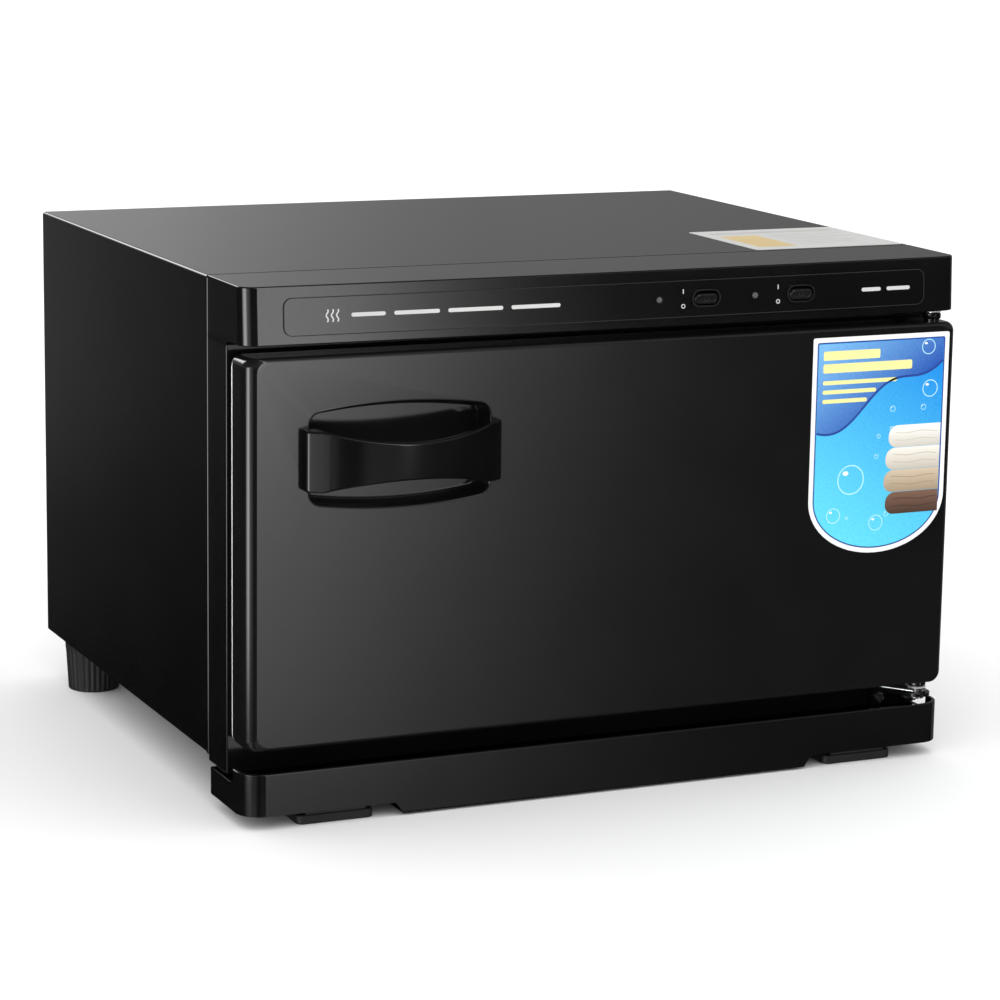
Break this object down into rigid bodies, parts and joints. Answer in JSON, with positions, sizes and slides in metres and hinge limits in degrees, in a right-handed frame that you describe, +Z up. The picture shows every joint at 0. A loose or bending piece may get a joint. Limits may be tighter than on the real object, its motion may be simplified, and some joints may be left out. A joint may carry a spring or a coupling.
{
  "type": "hot towel cabinet",
  "caption": "Table-top hot towel cabinet with a side-hinged door, strap handle, header with rocker switches, heated chamber, lifting wire rack and a slide-out drip tray.",
  "frame": {"origin": "middle of the overall bounding box in plan, on the surface the cabinet stands on", "axes": "+X to the right as the user faces the door, -Y is the front with the door, +Z is up"},
  "size_m": [0.45, 0.405, 0.3041],
  "materials": {
    "black_enamel_steel": "gloss enamel",
    "dark_sheet": "satin enamel",
    "black_moulding": "gloss",
    "overlay_film": "gloss with printed marks",
    "switch_black": "satin",
    "lens_grey": "clear smoke",
    "board_green": "solder mask",
    "chamber_metal": "bright rolled",
    "insulation": "glass-fibre felt",
    "element_steel": "oxidised",
    "ceramic": "unglazed",
    "fuse_brass": "plain",
    "lamp_glass": "clear quartz",
    "holder_white": "moulded",
    "ballast_grey": "satin",
    "rubber_black": "moulded",
    "bright_steel": "zinc plated",
    "magnet_grey": "ferrite",
    "paper_label": "printed paper",
    "door_label_film": "printed film",
    "rack_wire": "polished"
  },
  "bodies": {
    "cabinet": {"outer_shell": "black_enamel_steel", "base_panel": "dark_sheet", "rear_panel": "dark_sheet", "front_frame": "black_moulding", "control_overlay": "overlay_film", "heat_switch_body": "switch_black", "uv_switch_body": "switch_black", "indicator_lenses": "lens_grey", "indicator_board": "board_green", "chamber_liner": "chamber_metal", "chamber_insulation": "insulation", "heater_plate": "chamber_metal", "heating_element": "element_steel", "thermostat": "ceramic", "thermal_fuse": "fuse_brass", "uv_lamp": "lamp_glass", "uv_lamp_holders": "holder_white", "uv_ballast": "ballast_grey", "terminal_block": "holder_white", "cord_gland": "rubber_black", "catch_magnets": "magnet_grey", "hinge_bracket_top": "bright_steel", "hinge_bracket_bottom": "dark_sheet", "hinge_pin_top": "bright_steel", "hinge_pin_bottom": "bright_steel", "hinge_washers": "bright_steel", "hinge_spring": "bright_steel", "bracket_screws": "bright_steel", "foot_brackets": "dark_sheet", "front_feet": "rubber_black", "rear_feet": "rubber_black", "foot_screws": "bright_steel", "rear_screws": "dark_sheet", "shell_label": "paper_label"},
    "heat_rocker_cap": {"heat_rocker": "switch_black"},
    "uv_rocker_cap": {"uv_rocker": "switch_black"},
    "door": {"door_panel": "black_moulding", "door_liner": "chamber_metal", "door_insulation": "insulation", "door_gasket": "rubber_black", "handle_cup": "black_moulding", "handle_strap": "black_moulding", "handle_screws": "bright_steel", "liner_screws": "bright_steel", "strike_plates": "bright_steel", "hinge_bush_top": "black_moulding", "hinge_bush_bottom": "black_moulding", "door_label": "door_label_film"},
    "rack": {"wire_rack": "rack_wire", "rack_feet": "rubber_black"},
    "tray": {"drip_tray": "black_moulding"}
  },
  "joints": [
    {"name": "door_hinge", "type": "hinge", "parent": "cabinet", "child": "door", "pos_m": [0.212, -0.1665, 0.156], "axis": [0, 0, 1], "range_deg": [0, 110], "stiffness_Nm_per_rad": 0.05},
    {"name": "tray_slide", "type": "slide", "parent": "cabinet", "child": "tray", "axis": [0, -1, 0], "range_m": [0, 0.07]},
    {"name": "rack_lift", "type": "slide", "parent": "cabinet", "child": "rack", "axis": [0, 0, 1], "range_m": [0, 0.012]},
    {"name": "heat_rocker_tilt", "type": "hinge", "parent": "cabinet", "child": "heat_rocker_cap", "pos_m": [0.0547, -0.173, 0.287], "axis": [-1, 0, 0], "range_deg": [0, 14]},
    {"name": "uv_rocker_tilt", "type": "hinge", "parent": "cabinet", "child": "uv_rocker_cap", "pos_m": [0.1164, -0.173, 0.287], "axis": [-1, 0, 0], "range_deg": [0, 14]}
  ]
}
